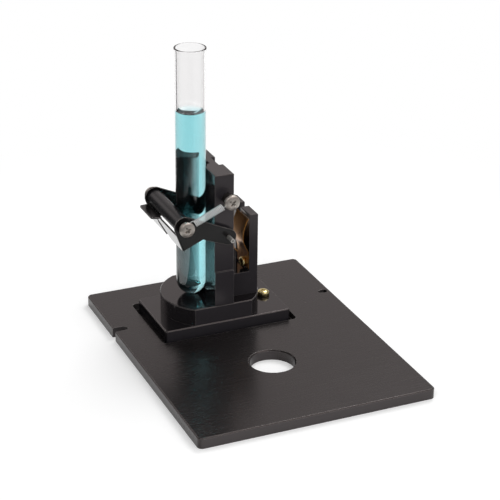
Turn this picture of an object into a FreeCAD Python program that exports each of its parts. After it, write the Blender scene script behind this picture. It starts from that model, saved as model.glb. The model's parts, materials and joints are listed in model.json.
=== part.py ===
import FreeCAD, Part
import math
import os
from FreeCAD import Vector

# Test-tube vortex station: a sprung roller clamp on a swinging carrier, all on a base plate.
# Millimetres. +Z is up, +X runs to the right along the plate's front edge, +Y runs to the back.
# The origin is the middle of the base plate's underside.

# Base plate
PLATE_WIDTH = 144.0
PLATE_DEPTH = 188.0
PLATE_THICKNESS = 6.35
PLATE_CORNER_RADIUS = 3.0
PLATE_EDGE_CHAMFER = 0.6
HOLE_DIAMETER = 26.5
HOLE_FROM_FRONT = 64.7
HOLE_RIM_CHAMFER = 0.8
SLOT_WIDTH = 5.2
SLOT_LENGTH = 8.7
KEYHOLE_HEAD_DIAMETER = 4.6
KEYHOLE_NECK_WIDTH = 3.0
KEYHOLE_NECK_LENGTH = 2.2
KEYHOLE_FROM_RIGHT = 4.3

# The clamp's middle plane, measured from the plate's front edge
MIDDLE_FROM_FRONT = 136.5

# Carrier plate in its pocket
CARRIER_WIDTH = 81.0
CARRIER_DEPTH = 48.0
CARRIER_THICKNESS = 9.4
CARRIER_FROM_LEFT = 64.8
CARRIER_CORNER_RADIUS = 1.5
CARRIER_EDGE_CHAMFER = 0.5
POCKET_DEPTH = 4.2
POCKET_GAP_SIDE = 3.1
POCKET_GAP_FRONT = 4.0
POCKET_CORNER_RADIUS = 3.0
CARRIER_CLEARANCE = 0.1

# Carrier pivot screw
SWING_SCREW_FROM_LEFT = 97.9
SWING_SCREW_HEAD_DIAMETER = 7.7
SWING_SCREW_HEAD_HEIGHT = 3.2
SWING_SCREW_DIAMETER = 5.0
SWING_SCREW_BOTTOM = 0.6

# Pedestal
PEDESTAL_FROM_LEFT = 61.7
PEDESTAL_RADIUS = 29.8
PEDESTAL_REAR_REACH = 26.4
PEDESTAL_HEIGHT = 10.65
PEDESTAL_FLAT_SETBACK = 0.5
PEDESTAL_EDGE_CHAMFER = 0.4

# Test tube and liquid
TUBE_DIAMETER = 18.0
TUBE_WALL = 1.1
TUBE_LENGTH = 154.6
TUBE_FROM_LEFT = 50.0
TUBE_RIM_FLARE = 0.5
TUBE_RIM_HEIGHT = 1.6
LIQUID_FILL = 114.5
LIQUID_CLEARANCE = 0.05
SEAT_CLEARANCE = 0.25

# Upright V-block
UPRIGHT_FROM_LEFT = 56.1
UPRIGHT_THICKNESS = 12.0
UPRIGHT_HEIGHT = 83.3
UPRIGHT_SIDE_SETBACK = 1.0
FOOT_HEIGHT = 22.0
V_ANGLE = 120.0
V_RELIEF_WIDTH = 4.2
V_RELIEF_DEPTH = 0.5
REAR_GROOVE_WIDTH = 12.6
REAR_GROOVE_DEPTH = 2.6
UPRIGHT_EDGE_CHAMFER = 0.35

# Rear bracket
BRACKET_LENGTH = 19.0
BRACKET_HALF_WIDTH = 16.75
BRACKET_SHIFT = 1.75
BRACKET_OVERHANG = 0.1
BRACKET_FOOT_HEIGHT = 14.9
POST_THICKNESS = 5.5
POST_HEIGHT = 51.9
POST_GAP = 6.6
BRACKET_EDGE_CHAMFER = 0.35

# Leaf springs
LEAF_THICKNESS = 0.4
REAR_LEAF_WIDTH = 16.5
REAR_LEAF_SCREW_INSET = 6.0
REAR_LEAF_EDGE_INSET = 0.5
REAR_LEAF_START = 1.2
REAR_LEAF_FLAT = 8.0
REAR_LEAF_APEX_HEIGHT = 21.0
REAR_LEAF_BOW = 3.7
REAR_LEAF_LENGTH = 33.0
FRONT_LEAF_WIDTH = 11.6
FRONT_LEAF_EDGE_INSET = 0.8
FRONT_LEAF_TOP_DROP = 14.6
FRONT_LEAF_FLAT = 30.5
FRONT_LEAF_LENGTH = 35.8
FRONT_LEAF_FLARE = 3.0

# Leaf screws
LEAF_SCREW_HEAD_DIAMETER = 6.2
LEAF_SCREW_HEAD_HEIGHT = 2.8
LEAF_SCREW_DIAMETER = 3.0
LEAF_SCREW_LENGTH = 5.0
REAR_LEAF_SCREW_HEIGHT = 4.0
FRONT_LEAF_SCREW_DROP = 6.5

# Clamp lever, folded from sheet
LEVER_SHEET = 1.0
LEVER_ARM_GAP = 1.45
LEVER_SHIFT = 1.15
LEVER_PIVOT_RADIUS = 4.9
LEVER_NOSE_RADIUS = 6.3
LEVER_PIVOT_FROM_LEFT = 63.4
LEVER_PIVOT_HEIGHT = 45.3
LEVER_STRIP_LENGTH = 15.45
LEVER_CHEEK_DROP = 15.25
LEVER_CHEEK_LEAD = 1.1
LEVER_BEND_RADIUS = 1.0
TAB_LENGTH = 5.6
TAB_FALL = 3.0
TAB_ROOT_LIFT = 1.3
TAB_ROOT_OFFSET = 1.65
TAB_TIP_OFFSET = 4.15
TAB_FAR_INSET = 0.0
TAB_CORNER_RADIUS = 1.2
WEB_TOP_DROP = 3.2
WEB_SLOT_WIDTH = 3.6
WEB_SLOT_OFFSET = -1.95
WEB_SLOT_LEAN = 11.1
WEB_SLOT_RISE = 6.2

# Pivot pin and spacer
PIN_DIAMETER = 2.5
PIN_BORE_DIAMETER = 1.1
PIN_OVERHANG = 6.4
SPACER_DIAMETER = 7.0
SIDE_PLAY = 0.1
RUNNING_FIT = 0.05

# Roller, spindle and roller screws
ROLLER_RADIUS = 4.9
ROLLER_HEIGHT = 56.0
ROLLER_END_PLAY = 0.3
ROLLER_EDGE_CHAMFER = 0.4
SPINDLE_DIAMETER = 6.8
SCREW_HEAD_DIAMETER = 9.2
SCREW_HEAD_HEIGHT = 2.0
SCREW_DIAMETER = 5.0
ROLLER_SCREW_GRIP = 9.0
ANCHOR_SCREW_GRIP = 10.0
WASHER_DIAMETER = 9.0
WASHER_THICKNESS = 0.7
BUSH_DIAMETER = 6.4
BUSH_LENGTH = 2.8
THREAD_CLEARANCE = 0.05

# Spring anchor on the V-block's near side
ANCHOR_FROM_LEFT = 63.8
ANCHOR_HEIGHT = 68.5

# Extension spring
SPRING_DIAMETER = 4.4
SPRING_WIRE = 0.55
SPRING_TURNS = 20
SPRING_ARM_CLEARANCE = 0.3
SPRING_LEG = 1.2
SPRING_BEND = 1.1
SPRING_END_GAP = 0.15
SPRING_LEAST_GAP = 0.4

# Countersunk frame screws
FRAME_SCREW_HEAD_DIAMETER = 7.5
FRAME_SCREW_HEAD_HEIGHT = 2.2
FRAME_SCREW_DIAMETER = 4.0
FRAME_SCREW_LENGTH = 16.0
UPRIGHT_SCREW_OFFSET = 15.5
BRACKET_SCREW_OFFSET = 9.0
PEDESTAL_SCREW_REACH = 20.0
PEDESTAL_SCREW_OFFSET = 12.0

# Positions that follow from the sizes above
MID_Y = MIDDLE_FROM_FRONT - PLATE_DEPTH / 2
LEFT_X = -PLATE_WIDTH / 2
CARRIER_X = LEFT_X + CARRIER_FROM_LEFT
CARRIER_BOTTOM = PLATE_THICKNESS - POCKET_DEPTH + CARRIER_CLEARANCE
CARRIER_TOP = CARRIER_BOTTOM + CARRIER_THICKNESS
SWING_X = LEFT_X + SWING_SCREW_FROM_LEFT
PEDESTAL_X = LEFT_X + PEDESTAL_FROM_LEFT
PEDESTAL_TOP = CARRIER_TOP + PEDESTAL_HEIGHT
PEDESTAL_HALF_DEPTH = CARRIER_DEPTH / 2 - PEDESTAL_FLAT_SETBACK
TUBE_X = LEFT_X + TUBE_FROM_LEFT
TUBE_RADIUS = TUBE_DIAMETER / 2
TUBE_BOTTOM = PEDESTAL_TOP + SEAT_CLEARANCE
UPRIGHT_X0 = LEFT_X + UPRIGHT_FROM_LEFT
UPRIGHT_X1 = UPRIGHT_X0 + UPRIGHT_THICKNESS
UPRIGHT_TOP = PEDESTAL_TOP + UPRIGHT_HEIGHT
UPRIGHT_HALF_WIDTH = PEDESTAL_HALF_DEPTH - UPRIGHT_SIDE_SETBACK
V_APEX_X = TUBE_X + (TUBE_RADIUS + SEAT_CLEARANCE) / math.sin(math.radians(V_ANGLE / 2))
POST_X1 = UPRIGHT_X1 + BRACKET_LENGTH
POST_X0 = POST_X1 - POST_THICKNESS
BRACKET_FOOT_TOP = PEDESTAL_TOP + BRACKET_FOOT_HEIGHT
BRACKET_Y = MID_Y + BRACKET_SHIFT
LEVER_Y = MID_Y - LEVER_SHIFT
ARM_INNER = UPRIGHT_HALF_WIDTH + LEVER_ARM_GAP
ARM_OUTER = ARM_INNER + LEVER_SHEET
BLOCK_NEAR = UPRIGHT_HALF_WIDTH - LEVER_SHIFT
PIVOT = Vector(LEFT_X + LEVER_PIVOT_FROM_LEFT, LEVER_Y, PEDESTAL_TOP + LEVER_PIVOT_HEIGHT)
ROLLER = Vector(TUBE_X - TUBE_RADIUS - SEAT_CLEARANCE - ROLLER_RADIUS, LEVER_Y,
                PEDESTAL_TOP + ROLLER_HEIGHT)
ANCHOR = Vector(LEFT_X + ANCHOR_FROM_LEFT, LEVER_Y, PEDESTAL_TOP + ANCHOR_HEIGHT)
HEAD_SEAT = ARM_OUTER + BUSH_LENGTH


def box(x0, x1, y0, y1, z0, z1):
    return Part.makeBox(x1 - x0, y1 - y0, z1 - z0, Vector(x0, y0, z0))


def rod(radius, start, end):
    axis = end - start
    return Part.makeCylinder(radius, axis.Length, start, axis)


def ring(outer, inner, start, end):
    return rod(outer, start, end).cut(rod(inner, start, end))


def mirrored(shape):
    """The shape's copy on the other side of the lever's middle plane."""
    return shape.mirror(Vector(0, LEVER_Y, 0), Vector(0, 1, 0))


def pair(shape):
    return Part.makeCompound([shape, mirrored(shape)])


def at_side(point, offset):
    """The point moved to the near side of the lever's middle plane by the offset."""
    return Vector(point.x, LEVER_Y - offset, point.z)


def prism(points, along):
    face = Part.Face(Part.makePolygon(points + points[:1]))
    return face.extrude(along)


def turned(outline, centre):
    """A solid of revolution about the upright axis at the centre."""
    face = Part.Face(Part.Wire(outline))
    solid = face.revolve(Vector(0, 0, 0), Vector(0, 0, 1), 360)
    solid.translate(centre)
    return solid


def line(a, b):
    return Part.makeLine(a, b)


def arc(a, b, c):
    return Part.Arc(a, b, c).toShape()


def upright_edges(shape):
    picked = []
    for edge in shape.Edges:
        box_of = edge.BoundBox
        if box_of.ZLength > 0.5 and box_of.XLength < 1e-6 and box_of.YLength < 1e-6:
            picked.append(edge)
    return picked


def edges_at_height(shape, height):
    picked = []
    for edge in shape.Edges:
        box_of = edge.BoundBox
        if abs(box_of.ZMin - height) < 1e-6 and abs(box_of.ZMax - height) < 1e-6:
            picked.append(edge)
    return picked


def rounded_block(x0, x1, y0, y1, z0, z1, radius):
    block = box(x0, x1, y0, y1, z0, z1)
    return block.makeFillet(radius, upright_edges(block))


def placed(shape, point, direction):
    """Turns a shape built along +Z to the direction and moves it to the point."""
    copy = shape.copy()
    copy.Placement = FreeCAD.Placement(point, FreeCAD.Rotation(Vector(0, 0, 1), direction))
    return copy


def cross_recess(head_radius, head_height):
    reach = 0.5 * head_radius
    width = 0.2 * head_radius
    depth = 0.6 * head_height
    top = head_height + 0.01
    cone = Part.makeCone(0.3 * reach, reach, depth, Vector(0, 0, top - depth))
    bar = box(-reach, reach, -width / 2, width / 2, top - depth, top)
    other = box(-width / 2, width / 2, -reach, reach, top - depth, top)
    return bar.fuse(other).common(cone)


def pan_screw(head_diameter, head_height, diameter, length):
    """A pan-head screw along +Z, seated at z = 0 with its shank below."""
    radius = head_diameter / 2
    shoulder = 0.45 * head_height
    outline = [
        line(Vector(0, 0, 0), Vector(radius, 0, 0)),
        line(Vector(radius, 0, 0), Vector(radius, 0, shoulder)),
        arc(Vector(radius, 0, shoulder), Vector(0.74 * radius, 0, 0.84 * head_height),
            Vector(0, 0, head_height)),
        line(Vector(0, 0, head_height), Vector(0, 0, 0)),
    ]
    head = turned(outline, Vector(0, 0, 0)).cut(cross_recess(radius, head_height))
    shank = Part.makeCylinder(diameter / 2, length, Vector(0, 0, -length))
    return head.fuse(shank).removeSplitter()


def countersunk_screw():
    """A countersunk screw along +Z, its flat head face at z = 0."""
    head = Part.makeCone(FRAME_SCREW_HEAD_DIAMETER / 2, FRAME_SCREW_DIAMETER / 2,
                         FRAME_SCREW_HEAD_HEIGHT)
    shank = Part.makeCylinder(FRAME_SCREW_DIAMETER / 2, FRAME_SCREW_LENGTH)
    socket_depth = 0.6 * FRAME_SCREW_HEAD_HEIGHT
    socket = Part.makeCylinder(0.3 * FRAME_SCREW_DIAMETER, socket_depth)
    return head.fuse(shank).cut(socket).removeSplitter()


def countersunk_hole(point):
    """What the countersunk screw needs cut away for it, with thread clearance."""
    gap = THREAD_CLEARANCE
    head = Part.makeCone(FRAME_SCREW_HEAD_DIAMETER / 2 + gap, FRAME_SCREW_DIAMETER / 2 + gap,
                         FRAME_SCREW_HEAD_HEIGHT, point)
    tip = Vector(0, 0, FRAME_SCREW_LENGTH + 1.0)
    return head.fuse(rod(FRAME_SCREW_DIAMETER / 2 + gap, point, point + tip))


def biarc(p0, t0, p1, t1):
    """Two arcs that leave p0 along t0 and reach p1 along t1, as edges."""
    chord = p1 - p0
    both = t0 + t1
    turn = 2 * (1 - t0.dot(t1))
    lean = chord.dot(both)
    if turn < 1e-9:
        reach = chord.dot(chord) / (4 * chord.dot(t1))
    else:
        reach = (math.sqrt(lean * lean + turn * chord.dot(chord)) - lean) / turn
    c0 = p0 + t0 * reach
    c1 = p1 - t1 * reach
    joint = (c0 + c1) * 0.5
    return [tangent_arc(p0, c0, joint), tangent_arc(joint, c1, p1)]


def tangent_arc(start, corner, end):
    """The arc from start to end whose end tangents meet at the corner."""
    middle = (start + end) * 0.5
    half = (end - start).Length / 2
    rise = corner - middle
    if rise.Length < 1e-7:
        return line(start, end)
    bulge = half * math.tan(math.atan2(rise.Length, half) / 2)
    return arc(start, middle + rise.normalize() * bulge, end)


def swept_strip(path, width):
    """A leaf: the path thickened both ways in its plane and drawn out along Y."""
    start = path[0].Vertexes[0].Point
    tangent = path[0].tangentAt(path[0].FirstParameter)
    across = Vector(0, 1, 0).cross(tangent).normalize() * (LEAF_THICKNESS / 2)
    span = Vector(0, width, 0)
    corners = [start - across, start + across, start + across + span, start - across + span]
    profile = Part.makePolygon(corners + corners[:1])
    return Part.Wire(path).makePipeShell([profile], True, False)


def screw_spots():
    """Where the frame screws' head faces lie: (through the carrier, through the pedestal)."""
    low = []
    for side in (-1, 1):
        for step in (-1, 1):
            low.append(Vector(PEDESTAL_X + side * PEDESTAL_SCREW_REACH,
                              MID_Y + step * PEDESTAL_SCREW_OFFSET, CARRIER_BOTTOM))
    high = []
    upright_x = (UPRIGHT_X0 + UPRIGHT_X1) / 2
    bracket_x = (UPRIGHT_X1 + POST_X0) / 2
    for step in (-1, 1):
        high.append(Vector(upright_x, MID_Y + step * UPRIGHT_SCREW_OFFSET, CARRIER_TOP))
        high.append(Vector(bracket_x, MID_Y + step * BRACKET_SCREW_OFFSET, CARRIER_TOP))
    return low, high


def cut_screw_holes(shape, spots):
    for spot in spots:
        shape = shape.cut(countersunk_hole(spot))
    return shape


def base_plate():
    half_x = PLATE_WIDTH / 2
    half_y = PLATE_DEPTH / 2
    top = PLATE_THICKNESS
    plate = rounded_block(-half_x, half_x, -half_y, half_y, 0, top, PLATE_CORNER_RADIUS)
    plate = plate.makeChamfer(PLATE_EDGE_CHAMFER, edges_at_height(plate, top))
    floor = top - POCKET_DEPTH
    reach_x = CARRIER_WIDTH / 2 + POCKET_GAP_SIDE
    reach_y = CARRIER_DEPTH / 2 + POCKET_GAP_FRONT
    pocket = rounded_block(CARRIER_X - reach_x, CARRIER_X + reach_x, MID_Y - reach_y, MID_Y + reach_y,
                           floor, top + 1, POCKET_CORNER_RADIUS)
    plate = plate.cut(pocket)
    hole_y = HOLE_FROM_FRONT - half_y
    hole = rod(HOLE_DIAMETER / 2, Vector(0, hole_y, -1), Vector(0, hole_y, top + 1))
    rim = Part.makeCone(HOLE_DIAMETER / 2, HOLE_DIAMETER / 2 + HOLE_RIM_CHAMFER, HOLE_RIM_CHAMFER,
                        Vector(0, hole_y, top - HOLE_RIM_CHAMFER))
    plate = plate.cut(hole).cut(rim)
    plate = plate.cut(edge_slot()).cut(keyhole())
    thread = SWING_SCREW_DIAMETER / 2 + THREAD_CLEARANCE
    return plate.cut(rod(thread, Vector(SWING_X, MID_Y, SWING_SCREW_BOTTOM), Vector(SWING_X, MID_Y, top)))


def edge_slot():
    radius = SLOT_WIDTH / 2
    end_x = LEFT_X + SLOT_LENGTH - radius
    end = rod(radius, Vector(end_x, MID_Y, -1), Vector(end_x, MID_Y, PLATE_THICKNESS + 1))
    run = box(LEFT_X - 1, end_x, MID_Y - radius, MID_Y + radius, -1, PLATE_THICKNESS + 1)
    return run.fuse(end)


def keyhole():
    radius = KEYHOLE_NECK_WIDTH / 2
    head_x = -LEFT_X - KEYHOLE_FROM_RIGHT
    neck_x = head_x - KEYHOLE_NECK_LENGTH
    low = -1
    high = PLATE_THICKNESS + 1
    head = rod(KEYHOLE_HEAD_DIAMETER / 2, Vector(head_x, MID_Y, low), Vector(head_x, MID_Y, high))
    end = rod(radius, Vector(neck_x, MID_Y, low), Vector(neck_x, MID_Y, high))
    return head.fuse(box(neck_x, head_x, MID_Y - radius, MID_Y + radius, low, high)).fuse(end)


def carrier_plate():
    half_x = CARRIER_WIDTH / 2
    half_y = CARRIER_DEPTH / 2
    plate = rounded_block(CARRIER_X - half_x, CARRIER_X + half_x, MID_Y - half_y, MID_Y + half_y,
                          CARRIER_BOTTOM, CARRIER_TOP, CARRIER_CORNER_RADIUS)
    plate = plate.makeChamfer(CARRIER_EDGE_CHAMFER, edges_at_height(plate, CARRIER_TOP))
    bearing = SWING_SCREW_DIAMETER / 2 + RUNNING_FIT
    plate = plate.cut(rod(bearing, Vector(SWING_X, MID_Y, 0), Vector(SWING_X, MID_Y, CARRIER_TOP + 1)))
    return cut_screw_holes(plate, screw_spots()[0])


def carrier_pivot_screw():
    length = CARRIER_TOP - SWING_SCREW_BOTTOM
    screw = pan_screw(SWING_SCREW_HEAD_DIAMETER, SWING_SCREW_HEAD_HEIGHT, SWING_SCREW_DIAMETER, length)
    return placed(screw, Vector(SWING_X, MID_Y, CARRIER_TOP + SIDE_PLAY), Vector(0, 0, 1))


def pedestal():
    disc = rod(PEDESTAL_RADIUS, Vector(PEDESTAL_X, MID_Y, CARRIER_TOP),
               Vector(PEDESTAL_X, MID_Y, PEDESTAL_TOP))
    reach = PEDESTAL_RADIUS + 1
    trim = box(PEDESTAL_X - reach, PEDESTAL_X + reach, MID_Y - PEDESTAL_HALF_DEPTH,
               MID_Y + PEDESTAL_REAR_REACH, CARRIER_TOP, PEDESTAL_TOP)
    disc = disc.common(trim)
    disc = disc.makeChamfer(PEDESTAL_EDGE_CHAMFER, edges_at_height(disc, PEDESTAL_TOP))
    low, high = screw_spots()
    return cut_screw_holes(disc, low + high)


def upright_plan(half_width):
    """The V-block's outline seen from above, with the V, its relief and the rear groove."""
    slope = math.tan(math.radians(V_ANGLE / 2))
    mouth = (V_APEX_X - UPRIGHT_X0) * slope
    relief = V_RELIEF_WIDTH / 2
    relief_x = V_APEX_X - relief / slope
    floor_x = V_APEX_X + V_RELIEF_DEPTH
    groove = REAR_GROOVE_WIDTH / 2
    groove_x = UPRIGHT_X1 - REAR_GROOVE_DEPTH
    half = [
        (UPRIGHT_X0, half_width),
        (UPRIGHT_X0, mouth),
        (relief_x, relief),
        (floor_x, relief),
    ]
    rear = [
        (groove_x, groove),
        (UPRIGHT_X1, groove),
        (UPRIGHT_X1, half_width),
    ]
    near = [Vector(x, MID_Y - y, PEDESTAL_TOP) for x, y in half]
    far = [Vector(x, MID_Y + y, PEDESTAL_TOP) for x, y in reversed(half)]
    back_far = [Vector(x, MID_Y + y, PEDESTAL_TOP) for x, y in reversed(rear)]
    back_near = [Vector(x, MID_Y - y, PEDESTAL_TOP) for x, y in rear]
    return near + far + back_far + back_near


def upright_block():
    block = prism(upright_plan(UPRIGHT_HALF_WIDTH), Vector(0, 0, UPRIGHT_HEIGHT))
    block = block.makeChamfer(UPRIGHT_EDGE_CHAMFER, edges_at_height(block, UPRIGHT_TOP))
    foot = prism(upright_plan(PEDESTAL_HALF_DEPTH), Vector(0, 0, FOOT_HEIGHT))
    block = block.fuse(foot).removeSplitter()
    pin_end = Vector(0, UPRIGHT_HALF_WIDTH + 2, 0)
    block = block.cut(rod(PIN_DIAMETER / 2, PIVOT - pin_end, PIVOT + pin_end))
    tap = SCREW_DIAMETER / 2 + THREAD_CLEARANCE
    inner = BLOCK_NEAR - ANCHOR_SCREW_GRIP - 0.5
    block = block.cut(rod(tap, at_side(ANCHOR, BLOCK_NEAR + 1), at_side(ANCHOR, inner)))
    spot = front_leaf_screw_spot()
    leaf_tap = LEAF_SCREW_DIAMETER / 2 + THREAD_CLEARANCE
    depth = Vector(LEAF_SCREW_LENGTH + 0.5, 0, 0)
    block = block.cut(rod(leaf_tap, spot - depth, spot))
    return cut_screw_holes(block, screw_spots()[1])


def rear_bracket():
    near = BRACKET_Y - BRACKET_HALF_WIDTH
    far = BRACKET_Y + BRACKET_HALF_WIDTH
    foot = box(UPRIGHT_X1, POST_X1, near, far, PEDESTAL_TOP, BRACKET_FOOT_TOP)
    top = PEDESTAL_TOP + POST_HEIGHT
    posts = box(POST_X0, POST_X1, near, far, PEDESTAL_TOP, top)
    gap = box(POST_X0 - 1, POST_X1 + 1, BRACKET_Y - POST_GAP / 2, BRACKET_Y + POST_GAP / 2,
              BRACKET_FOOT_TOP, top + 1)
    seat = Vector(PEDESTAL_X, MID_Y, PEDESTAL_TOP)
    round_edge = rod(PEDESTAL_RADIUS + BRACKET_OVERHANG, seat, seat + Vector(0, 0, POST_HEIGHT))
    bracket = foot.fuse(posts).cut(gap).common(round_edge).removeSplitter()
    bracket = bracket.makeChamfer(BRACKET_EDGE_CHAMFER, edges_at_height(bracket, top))
    spot = rear_leaf_screw_spot()
    tap = LEAF_SCREW_DIAMETER / 2 + THREAD_CLEARANCE
    bracket = bracket.cut(rod(tap, spot, spot + Vector(LEAF_SCREW_LENGTH + 2, 0, 0)))
    return cut_screw_holes(bracket, screw_spots()[1])


def rear_leaf_near_y():
    return BRACKET_Y - BRACKET_HALF_WIDTH + REAR_LEAF_EDGE_INSET


def front_leaf_near_y():
    return MID_Y - UPRIGHT_HALF_WIDTH + FRONT_LEAF_EDGE_INSET


def rear_leaf_screw_spot():
    """On the leaf's outer face, where the screw head seats."""
    return Vector(POST_X0 - LEAF_THICKNESS, rear_leaf_near_y() + REAR_LEAF_SCREW_INSET,
                  BRACKET_FOOT_TOP + REAR_LEAF_SCREW_HEIGHT)


def front_leaf_screw_spot():
    return Vector(UPRIGHT_X1 + LEAF_THICKNESS, front_leaf_near_y() + FRONT_LEAF_WIDTH / 2,
                  UPRIGHT_TOP - FRONT_LEAF_TOP_DROP - FRONT_LEAF_SCREW_DROP)


def rear_leaf_spring():
    x = POST_X0 - LEAF_THICKNESS / 2
    y = rear_leaf_near_y()
    start = BRACKET_FOOT_TOP + REAR_LEAF_START
    foot = Vector(x, y, start)
    bend = Vector(x, y, start + REAR_LEAF_FLAT)
    apex = Vector(x - REAR_LEAF_BOW, y, start + REAR_LEAF_APEX_HEIGHT)
    tip = Vector(x - LEAF_THICKNESS, y, start + REAR_LEAF_LENGTH)
    up = Vector(0, 0, 1)
    lean = Vector(tip.x - apex.x, 0, (tip.z - apex.z) / 2).normalize()
    path = [line(foot, bend)] + biarc(bend, up, apex, up) + biarc(apex, up, tip, lean)
    leaf = swept_strip(path, REAR_LEAF_WIDTH)
    return leaf.cut(leaf_hole(rear_leaf_screw_spot()))


def front_leaf_spring():
    x = UPRIGHT_X1 + LEAF_THICKNESS / 2
    y = front_leaf_near_y()
    top = UPRIGHT_TOP - FRONT_LEAF_TOP_DROP
    head = Vector(x, y, top)
    bend = Vector(x, y, top - FRONT_LEAF_FLAT)
    tip = Vector(x + FRONT_LEAF_FLARE, y, top - FRONT_LEAF_LENGTH)
    flare = Vector(tip.x - bend.x, 0, (tip.z - bend.z) / 3).normalize()
    path = [line(head, bend)] + biarc(bend, Vector(0, 0, -1), tip, flare)
    leaf = swept_strip(path, FRONT_LEAF_WIDTH)
    return leaf.cut(leaf_hole(front_leaf_screw_spot()))


def leaf_hole(spot):
    reach = Vector(2 * LEAF_THICKNESS, 0, 0)
    return rod(LEAF_SCREW_DIAMETER / 2 + THREAD_CLEARANCE, spot - reach, spot + reach)


def leaf_screws():
    screw = pan_screw(LEAF_SCREW_HEAD_DIAMETER, LEAF_SCREW_HEAD_HEIGHT, LEAF_SCREW_DIAMETER,
                      LEAF_SCREW_LENGTH)
    rear = placed(screw, rear_leaf_screw_spot(), Vector(-1, 0, 0))
    front = placed(screw, front_leaf_screw_spot(), Vector(1, 0, 0))
    return Part.makeCompound([rear, front])


def lever_corners():
    """Corners of the lever's arm, as points in the middle plane."""
    span = ROLLER - PIVOT
    along = Vector(span).normalize()
    above = Vector(-along.z, 0, along.x)
    if above.z < 0:
        above = above * -1
    taper = (LEVER_NOSE_RADIUS - LEVER_PIVOT_RADIUS) / span.Length
    outward = above * math.sqrt(1 - taper * taper) + along * taper
    nose_top = ROLLER + outward * LEVER_NOSE_RADIUS
    pivot_top = PIVOT + outward * LEVER_PIVOT_RADIUS
    pivot_low = PIVOT - above * LEVER_PIVOT_RADIUS
    throat = pivot_low + along * LEVER_STRIP_LENGTH
    cheek = ROLLER - Vector(LEVER_CHEEK_LEAD, 0, LEVER_CHEEK_DROP)
    return nose_top, pivot_top, pivot_low, throat, cheek, lever_nose_front(cheek)


def lever_nose_front(cheek):
    """Where the front edge, drawn up from the cheek, touches the rounded nose."""
    span = ROLLER - cheek
    angle = math.asin(LEVER_NOSE_RADIUS / span.Length) - math.atan2(span.x, span.z)
    reach = math.sqrt(span.Length ** 2 - LEVER_NOSE_RADIUS ** 2)
    return cheek + Vector(-math.sin(angle), 0, math.cos(angle)) * reach


def lever_arm():
    depth = Vector(0, LEVER_SHEET, 0)
    corners = [at_side(point, ARM_OUTER) for point in lever_corners()]
    arm = prism(corners, depth)
    for centre, radius in ((PIVOT, LEVER_PIVOT_RADIUS), (ROLLER, LEVER_NOSE_RADIUS)):
        end = at_side(centre, ARM_OUTER)
        arm = arm.fuse(rod(radius, end, end + depth))
    return arm


def clamp_lever():
    cheek, nose_front = lever_corners()[-2:]
    rise = Vector(nose_front - cheek).normalize()
    inward = Vector(rise.z, 0, -rise.x) * LEVER_SHEET
    web_top = nose_front - rise * WEB_TOP_DROP
    start = at_side(cheek, ARM_OUTER)
    end = at_side(web_top, ARM_OUTER)
    web = prism([start, end, end + inward, start + inward], Vector(0, 2 * ARM_OUTER, 0))
    arm = lever_arm()
    lever = arm.fuse(mirrored(arm)).fuse(web).removeSplitter()
    lever = lever.common(bend_envelope(cheek, rise))
    lever = lever.fuse(thumb_tab(web_top, rise, inward)).removeSplitter()
    lever = lever.cut(web_slot(cheek, rise, inward))
    half = Vector(0, ARM_OUTER + 1, 0)
    lever = lever.cut(rod(PIN_DIAMETER / 2 + RUNNING_FIT, PIVOT - half, PIVOT + half))
    return lever.cut(rod(SCREW_DIAMETER / 2 + THREAD_CLEARANCE, ROLLER - half, ROLLER + half))


def bend_envelope(cheek, rise):
    """A long block behind the lever's front plane, its front corners rounded as the folds are."""
    reach = 2 * (ROLLER - PIVOT).Length
    block = box(0, reach, -ARM_OUTER, ARM_OUTER, -reach, reach)
    front = [edge for edge in upright_edges(block) if edge.BoundBox.XMax < 1e-6]
    return placed(block.makeFillet(LEVER_BEND_RADIUS, front), cheek, rise)


def thumb_tab(web_top, rise, inward):
    """The lip on the far half: the web carried a little higher, then folded outwards."""
    fall = math.radians(TAB_FALL)
    out = Vector(-math.cos(fall), 0, -math.sin(fall)) * TAB_LENGTH
    down = Vector(math.sin(fall), 0, -math.cos(fall)) * LEVER_SHEET
    lift = rise * TAB_ROOT_LIFT
    far_end = ARM_INNER - TAB_FAR_INSET
    base = at_side(web_top, -TAB_ROOT_OFFSET)
    span = Vector(0, far_end - TAB_ROOT_OFFSET, 0)
    neck = prism([base, base + lift, base + lift + inward, base + inward], span)
    edge = web_top + lift + inward
    tips = [at_side(edge + out, -TAB_TIP_OFFSET), at_side(edge + out, -far_end)]
    lip = prism([at_side(edge, -TAB_ROOT_OFFSET)] + tips + [at_side(edge, -far_end)], down)
    corners = []
    for side in lip.Edges:
        middle = side.CenterOfMass
        if min((middle - tip - down * 0.5).Length for tip in tips) < 1e-6:
            corners.append(side)
    return neck.fuse(lip.makeFillet(TAB_CORNER_RADIUS, corners))


def web_slot(cheek, rise, inward):
    """The wide slanted slot that runs up into the web from its lower edge."""
    foot = at_side(cheek, -WEB_SLOT_OFFSET)
    head = foot + Vector(0, WEB_SLOT_LEAN, 0) + rise * WEB_SLOT_RISE
    along = Vector(head - foot).normalize()
    side = Vector(along.cross(inward)).normalize() * (WEB_SLOT_WIDTH / 2)
    through = inward * 4
    low = foot - along * WEB_SLOT_WIDTH - inward * 2
    high = head - inward * 2
    run = prism([low - side, high - side, high + side, low + side], through)
    return run.fuse(rod(WEB_SLOT_WIDTH / 2, high, high + through))


def pivot_pin():
    end = Vector(0, ARM_OUTER + PIN_OVERHANG, 0)
    return ring(PIN_DIAMETER / 2, PIN_BORE_DIAMETER / 2, PIVOT - end, PIVOT + end)


def pivot_spacer():
    """Fills the near arm's gap to the block; the far arm runs close beside the block."""
    near = at_side(PIVOT, BLOCK_NEAR)
    end = at_side(PIVOT, ARM_INNER - SIDE_PLAY)
    return ring(SPACER_DIAMETER / 2, PIN_DIAMETER / 2, near, end)


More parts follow.
